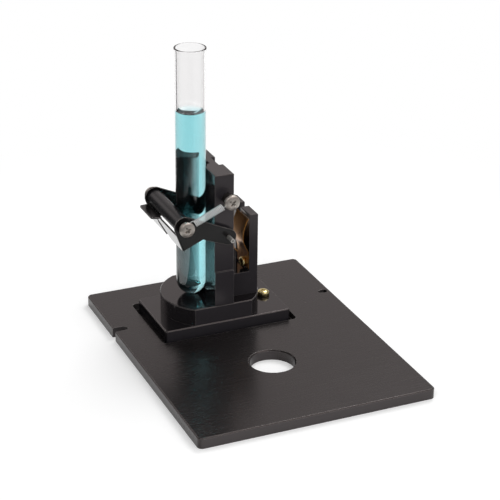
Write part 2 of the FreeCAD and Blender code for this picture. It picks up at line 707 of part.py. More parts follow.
def roller():
    half = ARM_INNER - ROLLER_END_PLAY
    body = rod(ROLLER_RADIUS, at_side(ROLLER, half), at_side(ROLLER, -half))
    rims = [edge for edge in body.Edges if edge.BoundBox.YLength < 1e-6]
    body = body.makeChamfer(ROLLER_EDGE_CHAMFER, rims)
    bore = SPINDLE_DIAMETER / 2 + RUNNING_FIT
    return body.cut(rod(bore, at_side(ROLLER, half + 1), at_side(ROLLER, -half - 1)))


def roller_spindle():
    body = rod(SPINDLE_DIAMETER / 2, at_side(ROLLER, ARM_INNER), at_side(ROLLER, -ARM_INNER))
    depth = ROLLER_SCREW_GRIP + 1
    tap = rod(SCREW_DIAMETER / 2 + THREAD_CLEARANCE, at_side(ROLLER, ARM_INNER),
              at_side(ROLLER, ARM_INNER - depth))
    return body.cut(tap).cut(mirrored(tap))


def side_screw(point, inner_end):
    """A near-side pan-head screw whose head sits over its washer."""
    length = HEAD_SEAT + WASHER_THICKNESS - inner_end
    screw = pan_screw(SCREW_HEAD_DIAMETER, SCREW_HEAD_HEIGHT, SCREW_DIAMETER, length)
    return placed(screw, at_side(point, HEAD_SEAT + WASHER_THICKNESS), Vector(0, -1, 0))


def side_washer(point):
    inner = SCREW_DIAMETER / 2 + THREAD_CLEARANCE
    return ring(WASHER_DIAMETER / 2, inner, at_side(point, HEAD_SEAT),
                at_side(point, HEAD_SEAT + WASHER_THICKNESS))


def side_sleeve(point, seat):
    """A sleeve from the seat out to the washer; the spring's end meets it."""
    inner = SCREW_DIAMETER / 2 + THREAD_CLEARANCE
    return ring(BUSH_DIAMETER / 2, inner, at_side(point, seat), at_side(point, HEAD_SEAT))


def spring_path():
    """The spring's centre line as edges, from the anchor to the near roller screw."""
    coil = (SPRING_DIAMETER - SPRING_WIRE) / 2
    offset = ARM_OUTER + SPRING_ARM_CLEARANCE + SPRING_DIAMETER / 2
    start = at_side(ANCHOR, offset)
    end = at_side(ROLLER, offset)
    axis = Vector(end - start).normalize()
    inner = Vector(0, 1, 0)
    side = axis.cross(inner)
    total = (end - start).Length
    margin = BUSH_DIAMETER / 2 + SPRING_END_GAP
    first = margin + SPRING_LEG + SPRING_BEND
    last = total - first
    lead = math.asin(SPRING_BEND / coil * 0.9)
    sweep = 2 * math.pi * SPRING_TURNS - 2 * lead
    rise = (last - first) / sweep

    def point(along, angle):
        return start + axis * along + inner * (coil * math.cos(angle)) + side * (coil * math.sin(angle))

    def tangent(angle):
        turning = side * (coil * math.cos(angle)) - inner * (coil * math.sin(angle))
        return Vector(axis * rise + turning).normalize()

    leg_in = point(margin, 0)
    leg_in_end = point(margin + SPRING_LEG, 0)
    leg_out = point(total - margin - SPRING_LEG, 0)
    leg_out_end = point(total - margin, 0)
    edges = [line(leg_in, leg_in_end)]
    edges += biarc(leg_in_end, axis, point(first, lead), tangent(lead))
    quarters = 4 * SPRING_TURNS
    step = sweep / quarters
    for index in range(quarters):
        a0 = lead + index * step
        a1 = a0 + step
        edges += biarc(point(first + rise * index * step, a0), tangent(a0),
                       point(first + rise * (index + 1) * step, a1), tangent(a1))
    edges += biarc(point(last, -lead), tangent(-lead), leg_out, axis)
    edges.append(line(leg_out, leg_out_end))
    print("spring pitch", round(rise * 2 * math.pi, 3), "gap", round(least_gap(edges), 3),
          "wanted over", SPRING_LEAST_GAP)
    return edges


def least_gap(edges):
    """The least clear space between the spring's wire and itself, from points on its path."""
    points = []
    lengths = []
    run = 0.0
    for edge in edges:
        parts = 6
        for index in range(parts):
            at = edge.FirstParameter + (edge.LastParameter - edge.FirstParameter) * index / parts
            points.append(edge.valueAt(at))
            lengths.append(run + edge.Length * index / parts)
        run += edge.Length
    nearest = 1e9
    apart = math.pi * SPRING_DIAMETER / 3
    for index, here in enumerate(points):
        for other in range(index + 1, min(index + 140, len(points))):
            if lengths[other] - lengths[index] > apart:
                nearest = min(nearest, (points[other] - here).Length)
    return nearest - SPRING_WIRE


def extension_spring():
    edges = spring_path()
    start = edges[0].Vertexes[0].Point
    heading = edges[0].tangentAt(edges[0].FirstParameter)
    section = Part.Wire(Part.makeCircle(SPRING_WIRE / 2, start, heading))
    path = Part.Wire(edges)
    spring = path.makePipeShell([section], True, False)
    ideal = math.pi * SPRING_WIRE ** 2 / 4 * path.Length
    print("spring volume over section times length", round(spring.Volume / ideal, 4))
    return spring


def tube_outline(outer, bottom, top, flare):
    """Half a round-bottomed outline about the tube's axis, as edges from bottom to rim."""
    diagonal = outer * math.sqrt(0.5)
    low = Vector(0, 0, bottom)
    round_end = Vector(outer, 0, bottom + outer)
    round_middle = Vector(diagonal, 0, bottom + outer - diagonal)
    edges = [arc(low, round_middle, round_end)]
    shoulder = Vector(outer, 0, top - 2 * TUBE_RIM_HEIGHT)
    lip = Vector(outer + flare, 0, top - TUBE_RIM_HEIGHT / 2)
    rim = Vector(outer + flare / 2, 0, top)
    edges.append(line(round_end, shoulder))
    edges.append(line(shoulder, lip))
    edges.append(line(lip, rim))
    return edges, rim


def test_tube():
    top = TUBE_LENGTH
    outside, rim = tube_outline(TUBE_RADIUS, 0, top, TUBE_RIM_FLARE)
    bore = TUBE_RADIUS - TUBE_WALL
    inside_rim = Vector(bore, 0, top)
    diagonal = bore * math.sqrt(0.5)
    round_end = Vector(bore, 0, TUBE_WALL + bore)
    low = Vector(0, 0, TUBE_WALL)
    round_middle = Vector(diagonal, 0, TUBE_WALL + bore - diagonal)
    inside = [line(rim, inside_rim), line(inside_rim, round_end), arc(round_end, round_middle, low),
              line(low, Vector(0, 0, 0))]
    return turned(outside + inside, Vector(TUBE_X, MID_Y, TUBE_BOTTOM))


def tube_liquid():
    radius = TUBE_RADIUS - TUBE_WALL - LIQUID_CLEARANCE
    bottom = TUBE_WALL + LIQUID_CLEARANCE
    diagonal = radius * math.sqrt(0.5)
    low = Vector(0, 0, bottom)
    round_end = Vector(radius, 0, bottom + radius)
    round_middle = Vector(diagonal, 0, bottom + radius - diagonal)
    edge = Vector(radius, 0, LIQUID_FILL)
    middle = Vector(0, 0, LIQUID_FILL)
    outline = [arc(low, round_middle, round_end), line(round_end, edge), line(edge, middle),
               line(middle, low)]
    return turned(outline, Vector(TUBE_X, MID_Y, TUBE_BOTTOM))


def frame_screws():
    low, high = screw_spots()
    screw = countersunk_screw()
    return Part.makeCompound([placed(screw, spot, Vector(0, 0, 1)) for spot in low + high])


def build():
    parts = {
        "base_plate": base_plate(),
        "carrier_plate": carrier_plate(),
        "carrier_pivot_screw": carrier_pivot_screw(),
        "pedestal": pedestal(),
        "upright_block": upright_block(),
        "rear_bracket": rear_bracket(),
        "frame_screws": frame_screws(),
        "rear_leaf_spring": rear_leaf_spring(),
        "front_leaf_spring": front_leaf_spring(),
        "leaf_screws": leaf_screws(),
        "clamp_lever": clamp_lever(),
        "pivot_pin": pivot_pin(),
        "pivot_spacer": pivot_spacer(),
        "roller": roller(),
        "roller_spindle": roller_spindle(),
        "roller_screws": pair(side_screw(ROLLER, ARM_INNER - ROLLER_SCREW_GRIP)),
        "roller_washers": pair(side_washer(ROLLER)),
        "roller_bushes": pair(side_sleeve(ROLLER, ARM_OUTER)),
        "anchor_screw": side_screw(ANCHOR, BLOCK_NEAR - ANCHOR_SCREW_GRIP),
        "anchor_washer": side_washer(ANCHOR),
        "anchor_spacer": side_sleeve(ANCHOR, BLOCK_NEAR),
        "extension_spring": extension_spring(),
        "test_tube": test_tube(),
        "tube_liquid": tube_liquid(),
    }
    os.makedirs("parts", exist_ok=True)
    for name, shape in parts.items():
        print(name, "solids", len(shape.Solids), "valid", shape.isValid(), "volume", round(shape.Volume, 2))
        shape.exportStep("parts/" + name + ".step")


build()
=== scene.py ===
import json
import math

import bpy
from bpy.props import FloatProperty, FloatVectorProperty, IntProperty, PointerProperty
from mathutils import Matrix, Vector


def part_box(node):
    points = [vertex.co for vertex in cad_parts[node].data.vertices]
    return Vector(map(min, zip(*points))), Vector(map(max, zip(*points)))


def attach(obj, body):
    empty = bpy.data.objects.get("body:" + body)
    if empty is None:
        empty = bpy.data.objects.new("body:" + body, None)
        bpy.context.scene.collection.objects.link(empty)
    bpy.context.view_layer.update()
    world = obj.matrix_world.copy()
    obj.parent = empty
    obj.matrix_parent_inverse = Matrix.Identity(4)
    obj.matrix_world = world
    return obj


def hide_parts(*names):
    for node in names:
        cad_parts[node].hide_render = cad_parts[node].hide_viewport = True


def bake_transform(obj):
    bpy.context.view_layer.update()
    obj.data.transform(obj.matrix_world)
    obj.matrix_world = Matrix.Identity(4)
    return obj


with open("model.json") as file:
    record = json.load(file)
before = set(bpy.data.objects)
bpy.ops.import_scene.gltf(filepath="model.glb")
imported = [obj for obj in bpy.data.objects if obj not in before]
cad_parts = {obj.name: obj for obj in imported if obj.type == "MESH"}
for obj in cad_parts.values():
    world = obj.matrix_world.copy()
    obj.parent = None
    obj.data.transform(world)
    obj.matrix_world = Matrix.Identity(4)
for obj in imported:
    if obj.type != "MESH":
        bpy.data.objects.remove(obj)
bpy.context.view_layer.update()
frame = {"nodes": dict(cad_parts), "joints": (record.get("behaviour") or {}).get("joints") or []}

bl_info = {
    "name": "Tube vortex station",
    "version": (1, 0, 0),
    "blender": (4, 5, 0),
    "location": "View3D > Sidebar > Tube station",
    "description": "Dresses a sprung roller clamp for one test tube, on its swinging carrier and base plate",
    "category": "Object",
}

MM = 0.001

# Screws: their shanks, and shares of the head's radius or height that give its dome and its cross recess
SCREW_SHANK = 5.0 * MM
LEAF_SHANK = 3.0 * MM
ROLLER_SCREW_LENGTH = 13.0 * MM
ANCHOR_SCREW_LENGTH = 17.0 * MM
HEAD_SHOULDER = 0.42
HEAD_CROWN = 0.34
DOME_STEPS = 7
RECESS_REACH = 1.24
RECESS_WIDTH = 0.27
RECESS_DEPTH = 0.70

# Tube and liquid: the height of the rim's flare, the rounding of its lip, and the overlap that wets the glass
RIM_HEIGHT = 3.2 * MM
RIM_ROUND = 0.38 * MM
WETTING = 0.04 * MM
GLASS_IOR = 1.48
WATER_IOR = 1.333
LIQUID_DENSITY = 70.0

# Finishes: how close other faces must come for bare metal to get painted shade in its crevices, and the pale
# metal painted along edges as wear and highlight
CREVICE_SHADE_REACH = 1.2 * MM
WORN_AND_LIT_ALUMINIUM = (0.26, 0.245, 0.235)
RUBBED_AND_LIT_STEEL = (0.55, 0.51, 0.49)


def low(node):
    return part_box(node)[0]


def high(node):
    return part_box(node)[1]


def centre(node):
    return (low(node) + high(node)) / 2


def joint_point(name):
    found = [joint for joint in frame["joints"] if joint["name"] == name]
    return Vector(found[0]["pos_m"])


TUBE_AXIS = Vector((centre("test_tube").x, centre("test_tube").y, 0))
ROLLER = joint_point("roller_spin")
ANCHOR = centre("anchor_spacer")


class StationSizes(bpy.types.PropertyGroup):
    """Sizes of the pieces that are modelled here, in metres."""

    tube_diameter: FloatProperty(
        name="Tube diameter", description="Outside diameter of the tube's straight run",
        default=18.0 * MM, unit="LENGTH")
    tube_wall: FloatProperty(
        name="Tube wall", description="Thickness of the glass", default=1.1 * MM, unit="LENGTH")
    rim_flare: FloatProperty(
        name="Rim flare", description="How far the rim stands out of the straight run",
        default=0.5 * MM, unit="LENGTH")
    meniscus: FloatProperty(
        name="Meniscus", description="How far the liquid climbs the glass", default=2.0 * MM, unit="LENGTH")
    meniscus_reach: FloatProperty(
        name="Meniscus reach", description="How fast the climb falls off towards the axis",
        default=2.4 * MM, unit="LENGTH")
    liquid_lift: FloatProperty(
        name="Liquid lift", description="How far the liquid's middle stands over the solid's top",
        default=0.6 * MM, unit="LENGTH")
    head_height: FloatProperty(
        name="Pan head height", description="Height of the roller and anchor screws' heads",
        default=2.0 * MM, unit="LENGTH")
    pivot_head_height: FloatProperty(
        name="Pivot head height", description="Height of the carrier pivot screw's head",
        default=3.2 * MM, unit="LENGTH")
    leaf_head_height: FloatProperty(
        name="Leaf head height", description="Height of the leaf screws' heads",
        default=2.8 * MM, unit="LENGTH")
    spring_diameter: FloatProperty(
        name="Spring diameter", description="Outside diameter of the coils", default=4.4 * MM, unit="LENGTH")
    spring_wire: FloatProperty(
        name="Spring wire", description="Diameter of the spring's wire", default=0.60 * MM, unit="LENGTH")
    spring_turns: IntProperty(
        name="Spring turns", description="Coils in the extension spring", default=20)
    spring_leg: FloatProperty(
        name="Spring leg", description="Straight run at each end of the spring",
        default=1.5 * MM, unit="LENGTH")
    spring_bend: FloatProperty(
        name="Spring bend", description="Radius where the last coil turns into the leg",
        default=0.8 * MM, unit="LENGTH")


class StationColours(bpy.types.PropertyGroup):
    """Colours of the finishes."""

    plate: FloatVectorProperty(
        name="Plate black", description="Dye of the base plate", subtype="COLOR",
        size=3, default=(0.0075, 0.0068, 0.0070), min=0, max=1)
    block: FloatVectorProperty(
        name="Block black", description="Dye of the carrier, pedestal, V-block and bracket", subtype="COLOR",
        size=3, default=(0.0072, 0.0066, 0.0076), min=0, max=1)
    sheet: FloatVectorProperty(
        name="Lever black", description="Finish of the folded lever", subtype="COLOR",
        size=3, default=(0.0055, 0.0050, 0.0052), min=0, max=1)
    roller: FloatVectorProperty(
        name="Roller black", description="Moulded roller", subtype="COLOR",
        size=3, default=(0.008, 0.008, 0.009), min=0, max=1)
    stainless: FloatVectorProperty(
        name="Stainless", description="Pan-head screws and washers", subtype="COLOR",
        size=3, default=(0.60, 0.555, 0.51), min=0, max=1)
    zinc: FloatVectorProperty(
        name="Zinc wire", description="Plated spring wire", subtype="COLOR",
        size=3, default=(0.93, 0.95, 0.95), min=0, max=1)
    brass: FloatVectorProperty(
        name="Brass", description="Pivot and leaf screws", subtype="COLOR",
        size=3, default=(0.80, 0.69, 0.36), min=0, max=1)
    bronze: FloatVectorProperty(
        name="Bronze", description="Leaf springs", subtype="COLOR",
        size=3, default=(0.46, 0.21, 0.05), min=0, max=1)
    nylon: FloatVectorProperty(
        name="Nylon", description="Pivot spacer", subtype="COLOR",
        size=3, default=(0.62, 0.60, 0.54), min=0, max=1)
    liquid: FloatVectorProperty(
        name="Liquid", description="What the blue liquid lets through", subtype="COLOR",
        size=3, default=(0.12, 0.83, 0.885), min=0, max=1)
    floor: FloatVectorProperty(
        name="Floor", description="Pale table and backdrop", subtype="COLOR",
        size=3, default=(0.88, 0.88, 0.88), min=0, max=1)


def sizes():
    return bpy.context.scene.station_sizes


def colours():
    return bpy.context.scene.station_colours


# Selecting and finishing meshes


def deselect():
    if bpy.context.object and bpy.context.object.mode != "OBJECT":
        bpy.ops.object.mode_set(mode="OBJECT")
    bpy.ops.object.select_all(action="DESELECT")


def pick(piece):
    deselect()
    piece.select_set(True)
    bpy.context.view_layer.objects.active = piece


def edit_points(piece, test):
    """Goes into edit mode with just the points chosen that pass the test."""
    pick(piece)
    bpy.ops.object.mode_set(mode="EDIT")
    bpy.ops.mesh.select_mode(type="VERT")
    bpy.ops.mesh.select_all(action="DESELECT")
    bpy.ops.object.mode_set(mode="OBJECT")
    for point in piece.data.vertices:
        point.select = test(point.co)
    bpy.ops.object.mode_set(mode="EDIT")


def pull_ring(rise, scale, about):
    """Draws the chosen ring of points up by the rise and in or out by the scale."""
    bpy.ops.mesh.extrude_region_move(TRANSFORM_OT_translate={"value": (0, 0, rise)})
    bpy.ops.transform.resize(value=(scale, scale, 1), center_override=about)


def apply_modifier(piece, kind, **settings):
    pick(piece)
    modifier = piece.modifiers.new(kind.title(), kind)
    for name, value in settings.items():
        setattr(modifier, name, value)
    bpy.ops.object.modifier_apply(modifier=modifier.name)


def settle(piece, name, angle):
    """Puts the piece's place into its mesh, merges its doubled points and smooths it."""
    pick(piece)
    piece.name = name
    piece.data.name = name
    bpy.ops.object.transform_apply(location=True, rotation=True, scale=True)
    bpy.ops.object.mode_set(mode="EDIT")
    bpy.ops.mesh.select_all(action="SELECT")
    bpy.ops.mesh.remove_doubles(threshold=1e-7)
    bpy.ops.object.mode_set(mode="OBJECT")
    bpy.ops.object.shade_smooth_by_angle(angle=math.radians(angle))


def face_out(piece):
    pick(piece)
    bpy.ops.object.mode_set(mode="EDIT")
    bpy.ops.mesh.select_all(action="SELECT")
    bpy.ops.mesh.normals_make_consistent(inside=False)
    bpy.ops.object.mode_set(mode="OBJECT")


def copy_of(piece):
    pick(piece)
    bpy.ops.object.duplicate(linked=False)
    return bpy.context.object


def join(pieces):
    deselect()
    for piece in pieces:
        piece.select_set(True)
    bpy.context.view_layer.objects.active = pieces[0]
    bpy.ops.object.join()
    return bpy.context.object


def place(piece, point, direction, across):
    """Stands a piece that was built along +Z at the point: +Z along the direction, +X to the across side."""
    up = Vector(direction).normalized()
    side = (Vector(across) - up * Vector(across).dot(up)).normalized()
    turn = Matrix((side, up.cross(side), up)).transposed().to_4x4()
    piece.matrix_world = Matrix.Translation(point) @ turn
    pick(piece)
    bpy.ops.object.transform_apply(location=True, rotation=True, scale=True)


def dress(node, material):
    """Gives a carried-over solid its finish."""
    slots = frame["nodes"][node].data.materials
    slots.clear()
    slots.append(material)


def finish_piece(piece, material, slot, body, *nodes):
    piece.data.materials.clear()
    piece.data.materials.append(material)
    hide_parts(*nodes)
    if body:
        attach(piece, body)


# Shared effects of the finishes


def new_group(name, inputs, outputs):
    group = bpy.data.node_groups.new(name, "ShaderNodeTree")
    for label, kind, value in inputs:
        socket = group.interface.new_socket(name=label, in_out="INPUT", socket_type=kind)
        socket.default_value = value
    for label, kind in outputs:
        group.interface.new_socket(name=label, in_out="OUTPUT", socket_type=kind)
    return group, group.nodes.new("NodeGroupInput"), group.nodes.new("NodeGroupOutput")


def wire(tree, source, target):
    tree.links.new(source, target)


def math_node(tree, operation, first, second):
    node = tree.nodes.new("ShaderNodeMath")
    node.operation = operation
    for index, value in enumerate((first, second)):
        if isinstance(value, (int, float)):
            node.inputs[index].default_value = value
        else:
            wire(tree, value, node.inputs[index])
    return node.outputs[0]


def spread(tree, value, from_low, from_high, to_low=0.0, to_high=1.0):
    node = tree.nodes.new("ShaderNodeMapRange")
    node.inputs["From Min"].default_value = from_low
    node.inputs["From Max"].default_value = from_high
    node.inputs["To Min"].default_value = to_low
    node.inputs["To Max"].default_value = to_high
    wire(tree, value, node.inputs["Value"])
    return node.outputs["Result"]


def noise(tree, vector, scale, detail, roughness=0.5):
    node = tree.nodes.new("ShaderNodeTexNoise")
    node.inputs["Detail"].default_value = detail
    node.inputs["Roughness"].default_value = roughness
    if isinstance(scale, (int, float)):
        node.inputs["Scale"].default_value = scale
    else:
        wire(tree, scale, node.inputs["Scale"])
    wire(tree, vector, node.inputs["Vector"])
    return node.outputs["Fac"]


def soft_edges_group():
    """Rounds the shading over edges and marks where the edges are."""
    group, given, made = new_group(
        "Soft edges", [("Radius", "NodeSocketFloat", 0.0002)],
        [("Normal", "NodeSocketVector"), ("Edge", "NodeSocketFloat")])
    bevel = group.nodes.new("ShaderNodeBevel")
    bevel.samples = 6
    wire(group, given.outputs["Radius"], bevel.inputs["Radius"])
    surface = group.nodes.new("ShaderNodeNewGeometry")
    dot = group.nodes.new("ShaderNodeVectorMath")
    dot.operation = "DOT_PRODUCT"
    wire(group, bevel.outputs["Normal"], dot.inputs[0])
    wire(group, surface.outputs["Normal"], dot.inputs[1])
    bend = math_node(group, "SUBTRACT", 1.0, dot.outputs["Value"])
    wire(group, bevel.outputs["Normal"], made.inputs["Normal"])
    wire(group, spread(group, bend, 0.01, 0.16), made.inputs["Edge"])
    return group


def brushed_grain_group():
    """Long fine streaks from a belt or mill, stretched along one axis."""
    group, given, made = new_group(
        "Brushed grain", [("Stretch", "NodeSocketVector", (1.0, 1.0, 1.0)),
                          ("Scale", "NodeSocketFloat", 900.0)],
        [("Streak", "NodeSocketFloat"), ("Fine", "NodeSocketFloat")])
    coordinate = group.nodes.new("ShaderNodeTexCoord")
    stretch = group.nodes.new("ShaderNodeVectorMath")
    stretch.operation = "MULTIPLY"
    wire(group, coordinate.outputs["Object"], stretch.inputs[0])
    wire(group, given.outputs["Stretch"], stretch.inputs[1])
    streak = noise(group, stretch.outputs["Vector"], given.outputs["Scale"], 3.0, 0.6)
    finer = math_node(group, "MULTIPLY", given.outputs["Scale"], 3.7)
    fine = noise(group, stretch.outputs["Vector"], finer, 2.0)
    wire(group, spread(group, streak, 0.3, 0.7), made.inputs["Streak"])
    wire(group, spread(group, fine, 0.3, 0.7), made.inputs["Fine"])
    return group


def handling_group():
    """Faint smudges from hands, and a scatter of dust specks."""
    group, given, made = new_group(
        "Handling", [("Size", "NodeSocketFloat", 60.0)],
        [("Smudge", "NodeSocketFloat"), ("Speck", "NodeSocketFloat")])
    coordinate = group.nodes.new("ShaderNodeTexCoord")
    smudge = noise(group, coordinate.outputs["Object"], given.outputs["Size"], 4.0, 0.55)
    cells = group.nodes.new("ShaderNodeTexVoronoi")
    cells.inputs["Scale"].default_value = 260.0
    wire(group, coordinate.outputs["Object"], cells.inputs["Vector"])
    sparse = noise(group, coordinate.outputs["Object"], 90.0, 1.0)
    near = spread(group, cells.outputs["Distance"], 0.10, 0.02)
    chosen = spread(group, sparse, 0.60, 0.68)
    wire(group, spread(group, smudge, 0.35, 0.7), made.inputs["Smudge"])
    wire(group, math_node(group, "MULTIPLY", near, chosen), made.inputs["Speck"])
    return group


def effect(tree, name, maker, **values):
    """Puts one of the shared effects into a finish, made when it is first asked for."""
    node = tree.nodes.new("ShaderNodeGroup")
    node.node_tree = bpy.data.node_groups.get(name) or maker()
    for label, value in values.items():
        node.inputs[label].default_value = value
    return node.outputs


def new_material(name):
    material = bpy.data.materials.new(name)
    material.use_nodes = True
    tree = material.node_tree
    return material, tree, tree.nodes["Principled BSDF"]


def blend_colour(tree, factor, first, second):
    node = tree.nodes.new("ShaderNodeMix")
    node.data_type = "RGBA"
    wire(tree, factor, node.inputs["Factor"])
    for index, value in ((6, first), (7, second)):
        if hasattr(value, "is_output"):
            wire(tree, value, node.inputs[index])
        else:
            node.inputs[index].default_value = (*value, 1.0)
    return node.outputs[2]


def bumped(tree, height, strength, distance, normal):
    node = tree.nodes.new("ShaderNodeBump")
    node.inputs["Strength"].default_value = strength
    node.inputs["Distance"].default_value = distance
    wire(tree, height, node.inputs["Height"])
    wire(tree, normal, node.inputs["Normal"])
    return node.outputs["Normal"]


# Finishes


def drawn(x=1.0, y=1.0, z=1.0):
    """How the grain is drawn out: a small share along an axis makes long streaks along it."""
    return (x, y, z)


def faces_along(tree, axis):
    """How squarely the bare face looks along one axis, from -1 to 1."""
    surface = tree.nodes.new("ShaderNodeNewGeometry")
    parts = tree.nodes.new("ShaderNodeSeparateXYZ")
    wire(tree, surface.outputs["True Normal"], parts.inputs["Vector"])
    return parts.outputs[axis]


def anodised(name, dye, stretch, gloss, y_face_light, edge_wear_and_light):
    """Black anodised aluminium: a dyed skin over fine grain, paler along its edges from wear and painted
    highlight, and paler on its faces along Y, front and back, from painted light.

    Gloss is the roughness of the milled faces, y_face_light how much painted light and extra roughness the
    faces along Y get, edge_wear_and_light how pale its edges are.
    """
    material, tree, skin = new_material(name)
    dye = Vector(dye)
    edges = effect(tree, "Soft edges", soft_edges_group, Radius=0.5 * MM)
    grain = effect(tree, "Brushed grain", brushed_grain_group, Stretch=stretch, Scale=900.0)
    marks = effect(tree, "Handling", handling_group, Size=38.0)
    tint = blend_colour(tree, grain["Streak"], dye * 0.92, dye * 1.08)
    # Painted light: faces turned along Y, front and back, get a paler colour standing in for the light on
    # them, and a rougher finish.
    y_facing = spread(tree, math_node(tree, "ABSOLUTE", faces_along(tree, "Y"), 0.0), 0.75, 0.95)
    side = math_node(tree, "MULTIPLY", y_facing, y_face_light)
    y_faces_lit = blend_colour(tree, side, tint, dye * 5.0)
    dusty = blend_colour(tree, marks["Speck"], y_faces_lit, dye * 7.0)
    # Edges go paler: partly wear, partly a painted highlight along them.
    wear_and_highlight = math_node(tree, "MULTIPLY", edges["Edge"], edge_wear_and_light)
    wire(tree, blend_colour(tree, wear_and_highlight, dusty, WORN_AND_LIT_ALUMINIUM), skin.inputs["Base Color"])
    satin = spread(tree, grain["Streak"], 0.0, 1.0, gloss * 0.9, gloss * 1.1)
    hazed = math_node(tree, "MULTIPLY", marks["Smudge"], 0.03)
    dull = math_node(tree, "MULTIPLY", side, 0.25)
    rough = math_node(tree, "ADD", math_node(tree, "ADD", satin, hazed), dull)
    wire(tree, rough, skin.inputs["Roughness"])
    wire(tree, bumped(tree, grain["Fine"], 0.007, 0.02 * MM, edges["Normal"]), skin.inputs["Normal"])
    skin.inputs["IOR"].default_value = 1.5
    skin.inputs["Specular Tint"].default_value = (1.0, 0.89, 0.88, 1.0)
    return material


def lever_black():
    """Black oxide on folded sheet, bright along its cut edges from rubbed wear and painted highlight, and
    polished on its front web.
    """
    material, tree, skin = new_material("Lever black sheet")
    black = Vector(colours().sheet)
    edges = effect(tree, "Soft edges", soft_edges_group, Radius=0.45 * MM)
    marks = effect(tree, "Handling", handling_group, Size=110.0)
    grain = effect(tree, "Brushed grain", brushed_grain_group, Stretch=drawn(y=0.12), Scale=1500.0)
    tint = blend_colour(tree, marks["Smudge"], black * 0.8, black * 1.35)
    # Cut edges go pale and metallic: partly rubbed wear, partly a painted highlight along them.
    rubbed_and_lit = math_node(tree, "MULTIPLY", edges["Edge"], math_node(tree, "ADD", grain["Streak"], 0.15))
    wire(tree, blend_colour(tree, rubbed_and_lit, tint, RUBBED_AND_LIT_STEEL), skin.inputs["Base Color"])
    wire(tree, spread(tree, grain["Fine"], 0.0, 1.0, 0.17, 0.25), skin.inputs["Roughness"])
    wire(tree, math_node(tree, "MULTIPLY", rubbed_and_lit, 0.6), skin.inputs["Metallic"])
    wire(tree, bumped(tree, grain["Fine"], 0.06, 0.02 * MM, edges["Normal"]), skin.inputs["Normal"])
    wire(tree, spread(tree, faces_along(tree, "X"), -0.80, -0.92), skin.inputs["Coat Weight"])
    skin.inputs["Coat Roughness"].default_value = 0.08
    skin.inputs["Specular IOR Level"].default_value = 0.32
    return material


def roller_black():
    """Glossy moulded black, with fine turning rings and hazy smudges."""
    material, tree, skin = new_material("Roller gloss black")
    black = Vector(colours().roller)
    edges = effect(tree, "Soft edges", soft_edges_group, Radius=0.3 * MM)
    rings = effect(tree, "Brushed grain", brushed_grain_group, Stretch=drawn(x=0.05, z=0.05), Scale=2600.0)
    marks = effect(tree, "Handling", handling_group, Size=90.0)
    wire(tree, blend_colour(tree, marks["Smudge"], black, black * 1.6), skin.inputs["Base Color"])
    gloss = spread(tree, rings["Streak"], 0.0, 1.0, 0.20, 0.28)
    hazed = math_node(tree, "MULTIPLY", marks["Smudge"], 0.06)
    wire(tree, math_node(tree, "ADD", gloss, hazed), skin.inputs["Roughness"])
    wire(tree, bumped(tree, rings["Fine"], 0.04, 0.02 * MM, edges["Normal"]), skin.inputs["Normal"])
    skin.inputs["Specular IOR Level"].default_value = 0.30
    return material


def bare_metal(name, colour, stretch, scale, smooth, rough, tarnish, bare=1.0):
    """Bright metal with drawn or turned streaks, darker where it has dulled, with painted shade in its
    hollows and crevices.

    The bare share is 1 for clean metal and less where a pale plating or film lies over it.
    """
    material, tree, skin = new_material(name)
    bright = Vector(colour)
    edges = effect(tree, "Soft edges", soft_edges_group, Radius=0.12 * MM)
    grain = effect(tree, "Brushed grain", brushed_grain_group, Stretch=stretch, Scale=scale)
    marks = effect(tree, "Handling", handling_group, Size=240.0)
    tint = blend_colour(tree, grain["Streak"], bright * 0.9, bright)
    clean = blend_colour(tree, marks["Smudge"], tint, Vector(tarnish))
    # Painted shade: the metal goes dark where other faces close round it, between coils, under heads and in
    # recesses.
    crevice_shade = tree.nodes.new("ShaderNodeAmbientOcclusion")
    crevice_shade.inputs["Distance"].default_value = CREVICE_SHADE_REACH
    unshaded = spread(tree, crevice_shade.outputs["AO"], 0.20, 0.60)
    wire(tree, blend_colour(tree, unshaded, bright * 0.10, clean), skin.inputs["Base Color"])
    wire(tree, spread(tree, grain["Fine"], 0.0, 1.0, smooth, rough), skin.inputs["Roughness"])
    wire(tree, bumped(tree, grain["Fine"], 0.08, 0.01 * MM, edges["Normal"]), skin.inputs["Normal"])
    skin.inputs["Metallic"].default_value = bare
    return material


def nylon():
    material, tree, skin = new_material("Natural nylon")
    white = Vector(colours().nylon)
    marks = effect(tree, "Handling", handling_group, Size=180.0)
    wire(tree, blend_colour(tree, marks["Smudge"], white, white * 0.85), skin.inputs["Base Color"])
    wire(tree, spread(tree, marks["Smudge"], 0.0, 1.0, 0.4, 0.55), skin.inputs["Roughness"])
    return material


def clear_glass():
    """Clear laboratory glass with a trace of haze, and painted shade that darkens it where the eye skims
    along its wall.
    """
    material, tree, skin = new_material("Clear glass")
    marks = effect(tree, "Handling", handling_group, Size=70.0)
    tint = blend_colour(tree, marks["Smudge"], (0.995, 0.99, 0.99), (0.98, 0.975, 0.975))
    rim = tree.nodes.new("ShaderNodeLayerWeight")
    # Painted shade: the glass colour darkens where it is seen edge-on, standing in for dark lines along the
    # tube's sides.
    painted_rim_shade = spread(tree, rim.outputs["Facing"], 0.70, 0.92)
    wire(tree, blend_colour(tree, painted_rim_shade, tint, (0.50, 0.47, 0.46)), skin.inputs["Base Color"])
    wire(tree, spread(tree, marks["Smudge"], 0.0, 1.0, 0.0, 0.012), skin.inputs["Roughness"])
    skin.inputs["IOR"].default_value = GLASS_IOR
    skin.inputs["Transmission Weight"].default_value = 1.0
    return material


